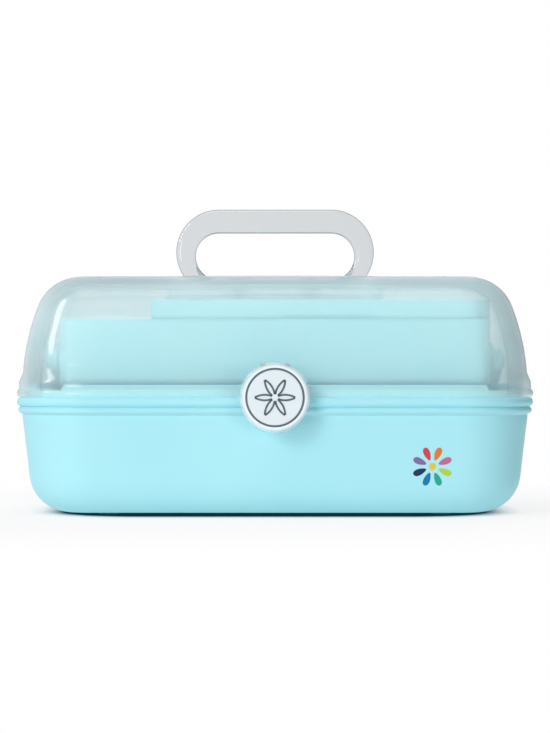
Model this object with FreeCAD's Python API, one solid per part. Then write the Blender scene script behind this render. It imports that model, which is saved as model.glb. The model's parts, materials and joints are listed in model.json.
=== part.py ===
"""Makeup storage case with a carrying handle: an opaque tub, a clear domed lid that lifts a tray as it
opens, a flip lid with a mirror on that tray, a folding ring handle and a round latch.

Millimetres. The origin is on the floor under the middle of the case. +X is to the right of someone who
faces the latch, -Y is the front and +Z is up.
"""
import FreeCAD, Part

import math
import os

V = FreeCAD.Vector
X_AXIS = V(1, 0, 0)
Y_AXIS = V(0, 1, 0)
Z_AXIS = V(0, 0, 1)
LEFT, RIGHT = -1, 1

# How far a cutter runs past the face it cuts, how deep a joined part is rooted in its wall, and how
# near two places are when they count as one
PAST = 1.0
ROOT = 0.5
TOLERANCE = 0.01

# Rim of the case: every wall is measured inwards from this outline
RIM_HALF_X = 167.5
RIM_HALF_Y = 100.0
RIM_CORNER_R = 50.0

# Tub
FOOT_HEIGHT = 1.7
FOOT_R = 7.0
FOOT_X, FOOT_Y = 108.0, 48.0
TUB_WALL = 3.0
TUB_DRAFT_DEG = 6.7
TUB_BOTTOM_R = 26.0
WALL_TOP_Z = 64.8
WALL_TOP_INSET = 3.5
LOWER_BEAD_Z = 65.4
LOWER_BEAD_INSET = 0.8
BEAD_STEP = 0.3
GROOVE_Z = 70.0
GROOVE_INSET = 2.4
TUB_TOP_Z = 76.0
BEAD_EDGE = 1.4

# Lip that stands up from the tub's rim, just inside the lid
LIP_INSET = 7.1
LIP_THICKNESS = 2.0
LIP_TOP_Z = 84.2
LIP_FOOT_Z = 66.0
LIP_RAMP = 3.0
LIP_ROOT_INSET = 5.0
LIP_ROOT_WALL = 1.0
LIP_NOTCH_X = (134.0, 151.0)
LIP_NOTCH_Z = 80.4

# Lid
LID_WALL = 2.5
LID_BOTTOM_Z = 76.3
LID_TOP_Z = 155.2
SHOULDER_R = 30.0
SHOULDER_INSET = 41.5
SHOULDER_TURN_DEG = 21.0
SIDE_R = 150.6
SIDE_LOW_DEG = 4.2
FLANGE_TOP_Z = 80.6
FLANGE_FOOT_INSET = 1.0
FLANGE_EDGE_INSET = 0.2
FLANGE_LOW_EDGE, FLANGE_HIGH_EDGE = 0.8, 0.4
BAND_TOP_Z = 85.4
BAND_INSET = 1.3
FLARE_Z = 87.2
FLARE_INSET = 1.9

# Well in the top of the lid, for the handle
WELL_HALF_X = 70.5
WELL_FRONT_Y, WELL_REAR_Y = -15.5, 55.5
WELL_FLOOR_Z = 142.5
WELL_WALL = 2.2
WELL_CORNER_R = 12.0

# Lid hinge
HINGE_Y, HINGE_Z = 106.0, 76.5
HINGE_X = 100.0
HINGE_LENGTH = 44.0
KNUCKLE_R = 5.4
KNUCKLE_LENGTH = 10.0
SIDE_PLAY = 0.4
HINGE_PIN_R = 2.0
HINGE_WEB_ROOT = 4.0
RUNNING_PLAY = 0.06

# Handle: a closed ring, upright over the middle of the lid
HANDLE_BAR_Z = 148.8
HANDLE_BAR_R = 5.2
HANDLE_HALF_STRAIGHT = 37.6
HANDLE_OUTER_R = 28.6
HANDLE_OUTER_Z = 172.3
HANDLE_INNER_R = 15.5
HANDLE_INNER_Z = 169.5
HANDLE_THICKNESS = 11.0
HANDLE_EDGE_R = 3.6
HANDLE_BAR_HALF = 36.0
HANDLE_BAR_ROOT = 4.0
CLIP_X = 24.0
CLIP_WIDTH = 11.0
CLIP_R = 6.3
CLIP_FOOT_Y = 14.5
CLIP_FOOT_HEIGHT = 2.4
CLIP_SCREW_Y = 10.9
SCREW_R = 1.5
SCREW_HEAD_R = 2.6
SCREW_HEAD_HEIGHT = 1.5

# Latch: a clear round cap on a pin at its upper edge
LATCH_Z = 76.4
LATCH_R = 22.6
LATCH_BACK_Y, LATCH_FRONT_Y = -104.4, -111.4
LATCH_EDGE_R = 2.6
LATCH_PIN_Y, LATCH_PIN_Z = -101.2, 96.0
LATCH_PIN_R = 1.25
LATCH_LUG_R = 2.7
LATCH_LUG_HALF = 5.0
LID_LUG_WIDTH = 4.0
BADGE_R = 17.4
BADGE_RING_R = 18.6
BADGE_DEPTH = 1.6
NIB_HALF_X = 6.0
NIB_BOTTOM_Z, NIB_TOP_Z = 58.4, 62.0
NIB_TIP_Y = -99.9

# Tray in the lid, with its parallel arms
TRAY_HALF_X = 138.5
TRAY_FRONT_Y, TRAY_REAR_Y = -75.0, 62.0
TRAY_BOTTOM_Z, TRAY_TOP_Z = 83.6, 126.4
TRAY_WALL = 2.0
TRAY_FLOOR = 2.2
TRAY_CORNER_R = 10.0
TRAY_BOTTOM_R = 3.0
TRAY_PIVOT_Y, TRAY_PIVOT_Z = 38.0, 108.0
ARM_BASE_Y, ARM_BASE_Z = 20.0, 68.0
ARM_TIP_Y = ARM_BASE_Y + TRAY_PIVOT_Y - HINGE_Y
ARM_TIP_Z = ARM_BASE_Z + TRAY_PIVOT_Z - HINGE_Z
ARM_INNER_X, ARM_OUTER_X = 141.0, 147.0
ARM_R = 8.0
BOSS_R = 7.0
BOSS_GAP = 0.4
PIVOT_R = 2.5
PIVOT_HEAD_R = 4.4
PIVOT_HEAD = 1.8
OPEN_PIVOT_PLAY = 0.3
PIVOT_SOCKET = 6.0
BRACKET_REAR_Y = 92.0
BRACKET_LOW_Z = 84.0

# Flip lid with the mirror, over the right-hand part of the tray
FLIP_LEFT_X, FLIP_RIGHT_X = -79.5, 139.0
FLIP_FRONT_Y, FLIP_REAR_Y = -74.5, 26.0
FLIP_BOTTOM_Z, FLIP_TOP_Z = 126.9, 138.6
FLIP_WALL = 2.0
FLIP_TOP = 2.2
FLIP_CORNER_R = 17.0
FLIP_LEFT_CORNER_R = 5.0
FLIP_HINGE_Y, FLIP_HINGE_Z = 30.0, 130.2
FLIP_LUG_R = 3.2
FLIP_LUG_HALF = 4.0
FLIP_EAR_WIDTH = 3.0
EAR_FOOT = 6.0
FLIP_HINGE_X = (-55.0, 110.0)
FLIP_PIN_R = 1.2
NOTCH_LEFT_X, NOTCH_RIGHT_X = 5.0, 63.0
NOTCH_HEIGHT, NOTCH_DEPTH = 1.8, 1.1
MIRROR_THICKNESS = 2.0
MIRROR_MARGIN = 3.5
CROSS_WALL_Y = 29.0
CROSS_WALL_TOP_Z = 124.8
PARTITION_X = -81.5
DIVIDER_X = 28.0
DIVIDER_Y = -20.0
DIVIDER_THICKNESS = 1.6
DIVIDER_TOP_Z = 120.0
DIVIDER_PLAY = 0.2


def on_circle(centre, radius, degrees):
    """The (inset, z) point of a circle; 0 degrees is outwards, 90 is up."""
    turn = math.radians(degrees)
    return (centre[0] - radius * math.cos(turn), centre[1] + radius * math.sin(turn))


def rim_form(profile):
    """A solid with the rim's plan and a given side profile.

    The profile is a start point and then steps from bottom to top: one point for a line, two for an
    arc through the first to the second. A point is (inset from the rim's outline, z).
    """

    def face(reach, place):
        start = profile[0]
        edges = []
        here = start
        for step in profile[1:]:
            points = [place(reach - inset, z) for inset, z in (here, *step)]
            if len(points) == 2:
                edges.append(Part.LineSegment(*points).toShape())
            else:
                edges.append(Part.Arc(*points).toShape())
            here = step[-1]
        corners = [place(reach - here[0], here[1]), place(0, here[1])]
        corners += [place(0, start[1]), place(reach - start[0], start[1])]
        for one, other in zip(corners, corners[1:]):
            edges.append(Part.LineSegment(one, other).toShape())
        return Part.Face(Part.Wire(edges))

    straight_x = RIM_HALF_X - RIM_CORNER_R
    straight_y = RIM_HALF_Y - RIM_CORNER_R
    side = face(RIM_HALF_X, lambda r, z: V(r, -straight_y, z)).extrude(V(0, 2 * straight_y, 0))
    rear = face(RIM_HALF_Y, lambda r, z: V(-straight_x, r, z)).extrude(V(2 * straight_x, 0, 0))
    corner = face(RIM_CORNER_R, lambda r, z: V(straight_x + r, straight_y, z))
    corner = corner.revolve(V(straight_x, straight_y, 0), Z_AXIS, 90)
    solids = [side, side.mirror(V(), X_AXIS), rear, rear.mirror(V(), Y_AXIS)]
    corners = [corner, corner.mirror(V(), X_AXIS)]
    corners += [piece.mirror(V(), Y_AXIS) for piece in corners]
    return join(solids + corners)


def join(shapes):
    """One clean solid from shapes that overlap or share faces."""
    return shapes[0].multiFuse(shapes[1:]).removeSplitter()


def box(x0, x1, y0, y1, z0, z1):
    """A block between two opposite corners."""
    return Part.makeBox(x1 - x0, y1 - y0, z1 - z0, V(x0, y0, z0))


def rounded_box(x0, x1, y0, y1, z0, z1, radius, left_radius=None):
    """A block whose upright edges are rounded, those at its left with a radius of their own if given."""
    block = box(x0, x1, y0, y1, z0, z1)
    upright = [e for e in block.Edges if abs(e.tangentAt(e.FirstParameter).z) > 0.5]
    left = [e for e in upright if e.CenterOfMass.x < (x0 + x1) / 2]
    right = [e for e in upright if e.CenterOfMass.x > (x0 + x1) / 2]
    block = block.makeFillet(radius, right)
    centres = [e.CenterOfMass for e in left]
    left = [e for e in block.Edges if any(e.CenterOfMass.isEqual(c, TOLERANCE) for c in centres)]
    return block.makeFillet(left_radius or radius, left)


def rod(radius, x0, x1, y, z):
    """A round bar along X."""
    return Part.makeCylinder(radius, abs(x1 - x0), V(min(x0, x1), y, z), X_AXIS)


def across(side, x0, x1):
    """Two distances from the middle, as ascending X on the given side."""
    return sorted((side * x0, side * x1))


def tub_profile(shrink, top_z):
    """The tub's wall: a rounded bottom edge and a wall that leans outwards, moved in by shrink."""
    draft = math.radians(TUB_DRAFT_DEG)
    centre_z = FOOT_HEIGHT + TUB_BOTTOM_R
    run = (WALL_TOP_Z - centre_z) * math.tan(draft)
    centre = (WALL_TOP_INSET + run + TUB_BOTTOM_R / math.cos(draft), centre_z)
    radius = TUB_BOTTOM_R - shrink
    middle = on_circle(centre, radius, -(90 + TUB_DRAFT_DEG) / 2)
    wall_start = on_circle(centre, radius, -TUB_DRAFT_DEG)
    top_inset = wall_start[0] - (top_z - wall_start[1]) * math.tan(draft)
    return [(centre[0], centre_z - radius), (middle, wall_start), ((top_inset, top_z),)]


def double_bead():
    """The two beads round the tub's rim, from the wall to the top."""
    lower_middle = (LOWER_BEAD_INSET, (LOWER_BEAD_Z + GROOVE_Z) / 2)
    upper_middle = (0.0, (GROOVE_Z + TUB_TOP_Z) / 2)
    return [
        ((WALL_TOP_INSET - BEAD_STEP, LOWER_BEAD_Z),),
        (lower_middle, (GROOVE_INSET, GROOVE_Z)),
        (upper_middle, (BEAD_EDGE, TUB_TOP_Z)),
    ]


def rim_lip():
    """The lip round the tub's rim, with a notch in each front corner."""
    outer = rim_form([
        (LIP_ROOT_INSET, LIP_FOOT_Z), ((LIP_ROOT_INSET, TUB_TOP_Z),), ((LIP_INSET, TUB_TOP_Z),),
        ((LIP_INSET, LIP_TOP_Z),),
    ])
    inner_inset = LIP_INSET + LIP_THICKNESS
    inner = rim_form([
        (LIP_ROOT_INSET + LIP_ROOT_WALL, LIP_FOOT_Z),
        ((inner_inset, LIP_FOOT_Z + LIP_RAMP),),
        ((inner_inset, LIP_TOP_Z),),
    ])
    lip = outer.cut(inner)
    for side in (LEFT, RIGHT):
        x = across(side, *LIP_NOTCH_X)
        lip = lip.cut(box(*x, -RIM_HALF_Y, -RIM_HALF_Y + RIM_CORNER_R, LIP_NOTCH_Z, LIP_TOP_Z + PAST))
    return lip


def hinge_part(x0, x1, web_z, bore):
    """One knuckle of the lid's hinge with the web that joins it to its wall."""
    web = box(x0, x1, RIM_HALF_Y - HINGE_WEB_ROOT, HINGE_Y, *web_z)
    return join([web, rod(KNUCKLE_R, x0, x1, HINGE_Y, HINGE_Z)]).cut(rod(bore, x0, x1, HINGE_Y, HINGE_Z))


def base_shell(outer):
    """Tub with its beads, lip, feet and the bosses that carry the tray's arms."""
    tub = outer.cut(rim_form(tub_profile(TUB_WALL, TUB_TOP_Z + PAST)))
    added = [rim_lip()]
    for x in (-FOOT_X, FOOT_X):
        for y in (-FOOT_Y, FOOT_Y):
            added.append(Part.makeCylinder(FOOT_R, FOOT_HEIGHT + ROOT, V(x, y, 0)))
    for side in (LEFT, RIGHT):
        boss_x = across(side, ARM_OUTER_X + BOSS_GAP, RIM_HALF_X - WALL_TOP_INSET - ROOT)
        added.append(rod(BOSS_R, *boss_x, ARM_BASE_Y, ARM_BASE_Z))
    tub = join([tub] + added)
    for side in (LEFT, RIGHT):
        socket = across(side, ARM_OUTER_X, ARM_OUTER_X + PIVOT_SOCKET)
        tub = tub.cut(rod(PIVOT_R, *socket, ARM_BASE_Y, ARM_BASE_Z))
    return tub


def tub_hinge(side, outer):
    """The two outer knuckles of one hinge, on the tub's rear wall."""
    half = HINGE_LENGTH / 2
    knuckles = []
    for start in (-half, half - KNUCKLE_LENGTH):
        x0 = side * HINGE_X + start
        web_z = (HINGE_Z - KNUCKLE_R, TUB_TOP_Z)
        knuckles.append(hinge_part(x0, x0 + KNUCKLE_LENGTH, web_z, HINGE_PIN_R).cut(outer))
    return Part.makeCompound(knuckles)


def lid_profile(shrink):
    """The dome's shoulder and side, moved in by shrink; returned from the side's foot to the top."""
    shoulder = (SHOULDER_INSET, LID_TOP_Z - SHOULDER_R)
    side = on_circle(shoulder, SHOULDER_R - SIDE_R, SHOULDER_TURN_DEG)
    foot = on_circle(side, SIDE_R - shrink, SIDE_LOW_DEG)
    side_middle = on_circle(side, SIDE_R - shrink, (SIDE_LOW_DEG + SHOULDER_TURN_DEG) / 2)
    turn = on_circle(side, SIDE_R - shrink, SHOULDER_TURN_DEG)
    shoulder_middle = on_circle(shoulder, SHOULDER_R - shrink, (90 + SHOULDER_TURN_DEG) / 2)
    top = (SHOULDER_INSET, LID_TOP_Z - shrink)
    return foot, [(side_middle, turn), (shoulder_middle, top)]


def lid_cavity():
    """The space inside the dome."""
    foot, dome = lid_profile(LID_WALL)
    return rim_form([(foot[0], LID_BOTTOM_Z - PAST), (foot,)] + dome)


def lid_outer():
    """The outside of the lid as a solid: its rim flange, its side and its top."""
    foot, dome = lid_profile(0)
    flange_middle = (0.0, (LID_BOTTOM_Z + FLANGE_TOP_Z) / 2)
    flange = [
        (FLANGE_FOOT_INSET, LID_BOTTOM_Z),
        ((FLANGE_EDGE_INSET, LID_BOTTOM_Z + FLANGE_LOW_EDGE),),
        (flange_middle, (FLANGE_EDGE_INSET, FLANGE_TOP_Z - FLANGE_HIGH_EDGE)),
        ((BAND_INSET, FLANGE_TOP_Z + FLANGE_HIGH_EDGE),),
        ((BAND_INSET, BAND_TOP_Z),),
        ((FLARE_INSET, FLARE_Z),),
        (foot,),
    ]
    return rim_form(flange + dome)


def well_block(wall):
    """The well for the handle, as a block from its floor to above the lid, grown by a wall."""
    return rounded_box(
        -WELL_HALF_X - wall, WELL_HALF_X + wall,
        WELL_FRONT_Y - wall, WELL_REAR_Y + wall,
        WELL_FLOOR_Z - wall, LID_TOP_Z + PAST, WELL_CORNER_R + wall,
    )


def handle_well(outer):
    """Cup let into the top of the lid, which the handle folds into."""
    cup = outer.common(well_block(WELL_WALL)).cut(well_block(0))
    for x in (-CLIP_X, CLIP_X):
        for y in (-CLIP_SCREW_Y, CLIP_SCREW_Y):
            bottom = V(x, y, WELL_FLOOR_Z - WELL_WALL - PAST)
            cup = cup.cut(Part.makeCylinder(SCREW_R, WELL_WALL + 2 * PAST, bottom))
    return cup


def lid_hinge(side, outer):
    """The middle knuckle of one hinge, on the lid's rear wall."""
    half = HINGE_LENGTH / 2 - KNUCKLE_LENGTH - SIDE_PLAY
    web_z = (LID_BOTTOM_Z, HINGE_Z + KNUCKLE_R)
    middle = side * HINGE_X
    return hinge_part(middle - half, middle + half, web_z, HINGE_PIN_R + RUNNING_PLAY).cut(outer)


def latch_lugs(outer):
    """Two lugs on the lid's front wall that hold the latch's pin."""
    lugs = []
    for side in (LEFT, RIGHT):
        x0, x1 = across(side, LATCH_LUG_HALF + SIDE_PLAY, LATCH_LUG_HALF + SIDE_PLAY + LID_LUG_WIDTH)
        z0, z1 = LATCH_PIN_Z - LATCH_LUG_R, LATCH_PIN_Z + LATCH_LUG_R
        web = box(x0, x1, LATCH_PIN_Y, -RIM_HALF_Y + LATCH_LUG_R + LID_WALL, z0, z1)
        lug = join([web, rod(LATCH_LUG_R, x0, x1, LATCH_PIN_Y, LATCH_PIN_Z)])
        lugs.append(lug.cut(rod(LATCH_PIN_R, x0, x1, LATCH_PIN_Y, LATCH_PIN_Z)).cut(outer))
    return Part.makeCompound(lugs)


def hinge_pin(side):
    """Steel pin of one lid hinge."""
    half = HINGE_LENGTH / 2
    return rod(HINGE_PIN_R, side * HINGE_X - half, side * HINGE_X + half, HINGE_Y, HINGE_Z)


def plate(points, x0, x1):
    """A flat plate with a (y, z) outline, between two X."""
    corners = [V(x0, y, z) for y, z in points]
    return Part.Face(Part.makePolygon(corners + corners[:1])).extrude(V(x1 - x0, 0, 0))


def lid_bracket(side, cavity):
    """Rib in a rear corner of the lid; its tip carries the tray."""
    x0, x1 = across(side, ARM_INNER_X, ARM_OUTER_X)
    outline = [
        (TRAY_PIVOT_Y, TRAY_PIVOT_Z + ARM_R),
        (BRACKET_REAR_Y, TRAY_PIVOT_Z + ARM_R),
        (BRACKET_REAR_Y, BRACKET_LOW_Z),
        (TRAY_PIVOT_Y, TRAY_PIVOT_Z - ARM_R),
    ]
    rib = join([plate(outline, x0, x1), rod(ARM_R, x0, x1, TRAY_PIVOT_Y, TRAY_PIVOT_Z)])
    rib = rib.common(cavity)
    return rib.cut(rod(PIVOT_R + RUNNING_PLAY, x0, x1, TRAY_PIVOT_Y, TRAY_PIVOT_Z))


def arm(side):
    """Link from the tub to the tray, parallel to the line from the lid's hinge to the tray's pivot."""
    x0, x1 = across(side, ARM_INNER_X, ARM_OUTER_X)
    run_y, run_z = ARM_TIP_Y - ARM_BASE_Y, ARM_TIP_Z - ARM_BASE_Z
    length = math.hypot(run_y, run_z)
    off_y, off_z = -run_z / length * ARM_R, run_y / length * ARM_R
    outline = [
        (ARM_BASE_Y + off_y, ARM_BASE_Z + off_z),
        (ARM_TIP_Y + off_y, ARM_TIP_Z + off_z),
        (ARM_TIP_Y - off_y, ARM_TIP_Z - off_z),
        (ARM_BASE_Y - off_y, ARM_BASE_Z - off_z),
    ]
    ends = [rod(ARM_R, x0, x1, ARM_BASE_Y, ARM_BASE_Z), rod(ARM_R, x0, x1, ARM_TIP_Y, ARM_TIP_Z)]
    link = join([plate(outline, x0, x1)] + ends)
    link = link.cut(rod(PIVOT_R + RUNNING_PLAY, x0, x1, ARM_BASE_Y, ARM_BASE_Z))
    return link.cut(rod(PIVOT_R + OPEN_PIVOT_PLAY, x0, x1, ARM_TIP_Y, ARM_TIP_Z))


def pivot_pin(side, y, z):
    """Headed pin from inside the tray's wall out through an arm or bracket."""
    inner = TRAY_HALF_X - TRAY_WALL
    outer = ARM_OUTER_X + BOSS_GAP
    shank = rod(PIVOT_R, *across(side, inner, outer), y, z)
    inner_head = rod(PIVOT_HEAD_R, *across(side, inner - PIVOT_HEAD, inner), y, z)
    outer_head = rod(PIVOT_HEAD_R, *across(side, outer, outer + PIVOT_HEAD), y, z)
    return join([shank, inner_head, outer_head])


def arm_base_pins():
    """Headed pins that hold the arms on the tub's bosses."""
    pins = []
    for side in (LEFT, RIGHT):
        inner = ARM_INNER_X - BOSS_GAP
        outer = ARM_OUTER_X + PIVOT_SOCKET
        shank = rod(PIVOT_R, *across(side, inner, outer), ARM_BASE_Y, ARM_BASE_Z)
        head = rod(PIVOT_HEAD_R, *across(side, inner - PIVOT_HEAD, inner), ARM_BASE_Y, ARM_BASE_Z)
        pins.append(join([shank, head]))
    return Part.makeCompound(pins)


def pivot_pins(y, z):
    """One pivot pin on each side."""
    return Part.makeCompound([pivot_pin(side, y, z) for side in (LEFT, RIGHT)])


def upper_tray():
    """Open tray with a rounded foot and holes for its pivots."""
    outer = rounded_box(
        -TRAY_HALF_X, TRAY_HALF_X, TRAY_FRONT_Y, TRAY_REAR_Y, TRAY_BOTTOM_Z, TRAY_TOP_Z, TRAY_CORNER_R
    )
    rim = [e for e in outer.Edges if abs(e.CenterOfMass.z - TRAY_BOTTOM_Z) < TOLERANCE]
    outer = outer.makeFillet(TRAY_BOTTOM_R, rim)
    inner = rounded_box(
        -TRAY_HALF_X + TRAY_WALL, TRAY_HALF_X - TRAY_WALL,
        TRAY_FRONT_Y + TRAY_WALL, TRAY_REAR_Y - TRAY_WALL,
        TRAY_BOTTOM_Z + TRAY_FLOOR, TRAY_TOP_Z + PAST, TRAY_CORNER_R - TRAY_WALL,
    )
    tray = outer.cut(inner)
    for side, y, z in tray_pivots():
        tray = tray.cut(rod(PIVOT_R, *across(side, TRAY_HALF_X - TRAY_WALL - PAST, ARM_INNER_X), y, z))
    return tray


def tray_pivots():
    """The four pivots on the tray's ends, as (side, y, z)."""
    pivots = []
    for side in (LEFT, RIGHT):
        pivots += [(side, TRAY_PIVOT_Y, TRAY_PIVOT_Z), (side, ARM_TIP_Y, ARM_TIP_Z)]
    return pivots


def tray_bosses():
    """Round bosses on the tray's ends, one round each pivot."""
    bosses = []
    for side, y, z in tray_pivots():
        boss_x = across(side, TRAY_HALF_X, ARM_INNER_X - BOSS_GAP)
        bosses.append(rod(BOSS_R, *boss_x, y, z).cut(rod(PIVOT_R, *boss_x, y, z)))
    return Part.makeCompound(bosses)


def tray_cross_wall():
    """Wall across the tray, behind the flip lid."""
    reach = TRAY_HALF_X - TRAY_WALL
    floor_z = TRAY_BOTTOM_Z + TRAY_FLOOR
    return box(-reach, reach, CROSS_WALL_Y, CROSS_WALL_Y + TRAY_WALL, floor_z, CROSS_WALL_TOP_Z)


def tray_partition():
    """Wall along the flip lid's left edge, carried on lower behind the cross wall."""
    x = (PARTITION_X, PARTITION_X + TRAY_WALL)
    floor_z = TRAY_BOTTOM_Z + TRAY_FLOOR
    front = box(*x, TRAY_FRONT_Y + TRAY_WALL, CROSS_WALL_Y, floor_z, TRAY_TOP_Z)
    rear = box(*x, CROSS_WALL_Y + TRAY_WALL, TRAY_REAR_Y - TRAY_WALL, floor_z, CROSS_WALL_TOP_Z)
    return Part.makeCompound([front, rear])


def flip_lid_ears():
    """Ears on the cross wall that hold the flip lid's pins."""
    wall = tray_cross_wall()
    y = (FLIP_HINGE_Y - FLIP_LUG_R, FLIP_HINGE_Y + FLIP_LUG_R)
    ears = []
    for centre in FLIP_HINGE_X:
        for start in (-FLIP_LUG_HALF - SIDE_PLAY - FLIP_EAR_WIDTH, FLIP_LUG_HALF + SIDE_PLAY):
            x = (centre + start, centre + start + FLIP_EAR_WIDTH)
            foot = box(*x, *y, CROSS_WALL_TOP_Z - EAR_FOOT, FLIP_HINGE_Z)
            ear = join([foot, rod(FLIP_LUG_R, *x, FLIP_HINGE_Y, FLIP_HINGE_Z)]).cut(wall)
            ears.append(ear.cut(rod(FLIP_PIN_R, *x, FLIP_HINGE_Y, FLIP_HINGE_Z)))
    return Part.makeCompound(ears)


def tray_dividers():
    """Two loose plates that stand in the tray, one under the flip lid and one at its left."""
    floor_z = TRAY_BOTTOM_Z + TRAY_FLOOR
    front_y = TRAY_FRONT_Y + TRAY_WALL + DIVIDER_PLAY
    left_x = -TRAY_HALF_X + TRAY_WALL + DIVIDER_PLAY
    under_lid = box(
        DIVIDER_X, DIVIDER_X + DIVIDER_THICKNESS,
        front_y, CROSS_WALL_Y - DIVIDER_PLAY, floor_z, DIVIDER_TOP_Z,
    )
    at_left = box(
        left_x, PARTITION_X - DIVIDER_PLAY,
        DIVIDER_Y, DIVIDER_Y + DIVIDER_THICKNESS, floor_z, DIVIDER_TOP_Z,
    )
    return Part.makeCompound([under_lid, at_left])


def flip_lid():
    """Shallow lid of the tray, open below, with a finger notch in front."""
    outer = rounded_box(
        FLIP_LEFT_X, FLIP_RIGHT_X, FLIP_FRONT_Y, FLIP_REAR_Y, FLIP_BOTTOM_Z, FLIP_TOP_Z,
        FLIP_CORNER_R, FLIP_LEFT_CORNER_R,
    )
    hollow = rounded_box(
        FLIP_LEFT_X + FLIP_WALL, FLIP_RIGHT_X - FLIP_WALL,
        FLIP_FRONT_Y + FLIP_WALL, FLIP_REAR_Y - FLIP_WALL,
        FLIP_BOTTOM_Z - PAST, FLIP_TOP_Z - FLIP_TOP,
        FLIP_CORNER_R - FLIP_WALL, FLIP_LEFT_CORNER_R - FLIP_WALL,
    )
    notch = box(
        NOTCH_LEFT_X, NOTCH_RIGHT_X, FLIP_FRONT_Y - PAST, FLIP_FRONT_Y + NOTCH_DEPTH,
        FLIP_BOTTOM_Z - PAST, FLIP_BOTTOM_Z + NOTCH_HEIGHT,
    )
    return outer.cut(hollow).cut(notch)


def flip_lid_lugs():
    """Two lugs behind the flip lid that turn on its pins."""
    bore = FLIP_PIN_R + RUNNING_PLAY
    lugs = []
    for centre in FLIP_HINGE_X:
        x = (centre - FLIP_LUG_HALF, centre + FLIP_LUG_HALF)
        arm_z = (FLIP_HINGE_Z - FLIP_PIN_R, FLIP_HINGE_Z + FLIP_LUG_R)
        lug = join([
            box(*x, FLIP_REAR_Y, FLIP_HINGE_Y, *arm_z), rod(FLIP_LUG_R, *x, FLIP_HINGE_Y, FLIP_HINGE_Z),
        ])
        lugs.append(lug.cut(rod(bore, *x, FLIP_HINGE_Y, FLIP_HINGE_Z)))
    return Part.makeCompound(lugs)


def mirror_glass():
    """Mirror that lies against the underside of the flip lid's top."""
    return rounded_box(
        FLIP_LEFT_X + MIRROR_MARGIN, FLIP_RIGHT_X - MIRROR_MARGIN,
        FLIP_FRONT_Y + MIRROR_MARGIN, FLIP_REAR_Y - MIRROR_MARGIN,
        FLIP_TOP_Z - FLIP_TOP - MIRROR_THICKNESS, FLIP_TOP_Z - FLIP_TOP,
        FLIP_CORNER_R - MIRROR_MARGIN, FLIP_LEFT_CORNER_R - MIRROR_MARGIN,
    )


def flip_hinge_pins():
    """Pins of the flip lid's two hinges."""
    half = FLIP_LUG_HALF + SIDE_PLAY + FLIP_EAR_WIDTH
    pins = [rod(FLIP_PIN_R, x - half, x + half, FLIP_HINGE_Y, FLIP_HINGE_Z) for x in FLIP_HINGE_X]
    return Part.makeCompound(pins)


def stadium(half_straight, radius, centre_z):
    """An upright slab with half-round ends, as thick as the handle."""
    y0 = -HANDLE_THICKNESS / 2
    middle = box(
        -half_straight, half_straight, y0, -y0, centre_z - radius, centre_z + radius
    )
    ends = []
    for x in (-half_straight, half_straight):
        ends.append(Part.makeCylinder(radius, HANDLE_THICKNESS, V(x, y0, centre_z), Y_AXIS))
    return join([middle] + ends)


def handle():
    """Ring handle; its lower bar is round and turns in the two clips."""
    ring = stadium(HANDLE_HALF_STRAIGHT, HANDLE_OUTER_R, HANDLE_OUTER_Z)
    ring = ring.cut(stadium(HANDLE_HALF_STRAIGHT, HANDLE_INNER_R, HANDLE_INNER_Z))
    flat = HANDLE_THICKNESS / 2 - TOLERANCE
    face_edges = [e for e in ring.Edges if abs(e.CenterOfMass.y) > flat]
    ring = ring.makeFillet(HANDLE_EDGE_R, face_edges)
    half = HANDLE_BAR_HALF
    bar_gap = box(
        -half, half, -HANDLE_THICKNESS, HANDLE_THICKNESS,
        HANDLE_OUTER_Z - HANDLE_OUTER_R - PAST, HANDLE_INNER_Z - HANDLE_INNER_R + PAST,
    )
    reach = half + HANDLE_BAR_ROOT
    bar = rod(HANDLE_BAR_R, -reach, reach, 0, HANDLE_BAR_Z)
    return join([ring.cut(bar_gap), bar])


def handle_clip(side):
    """Saddle that holds the handle's bar over the floor of the well."""
    x0, x1 = side * CLIP_X - CLIP_WIDTH / 2, side * CLIP_X + CLIP_WIDTH / 2
    foot = box(x0, x1, -CLIP_FOOT_Y, CLIP_FOOT_Y, WELL_FLOOR_Z, WELL_FLOOR_Z + CLIP_FOOT_HEIGHT)
    cheek = box(x0, x1, -CLIP_R, CLIP_R, WELL_FLOOR_Z, HANDLE_BAR_Z)
    saddle = join([foot, cheek, rod(CLIP_R, x0, x1, 0, HANDLE_BAR_Z)])
    saddle = saddle.cut(rod(HANDLE_BAR_R + RUNNING_PLAY, x0, x1, 0, HANDLE_BAR_Z))
    for y in (-CLIP_SCREW_Y, CLIP_SCREW_Y):
        bottom = V(side * CLIP_X, y, WELL_FLOOR_Z - PAST)
        saddle = saddle.cut(Part.makeCylinder(SCREW_R, CLIP_FOOT_HEIGHT + 2 * PAST, bottom))
    return saddle


def clip_screws():
    """Four screws through the clips' feet and the floor of the well."""
    screws = []
    foot_top = WELL_FLOOR_Z + CLIP_FOOT_HEIGHT
    for x in (-CLIP_X, CLIP_X):
        for y in (-CLIP_SCREW_Y, CLIP_SCREW_Y):
            bottom = V(x, y, WELL_FLOOR_Z - WELL_WALL)
            shank = Part.makeCylinder(SCREW_R, CLIP_FOOT_HEIGHT + WELL_WALL, bottom)
            head = Part.makeCylinder(SCREW_HEAD_R, SCREW_HEAD_HEIGHT, V(x, y, foot_top))
            screws.append(join([shank, head]))
    return Part.makeCompound(screws)


def disc(radius, back_y, front_y):
    """A round plate on the latch's axis."""
    return Part.makeCylinder(radius, back_y - front_y, V(0, front_y, LATCH_Z), Y_AXIS)


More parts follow.
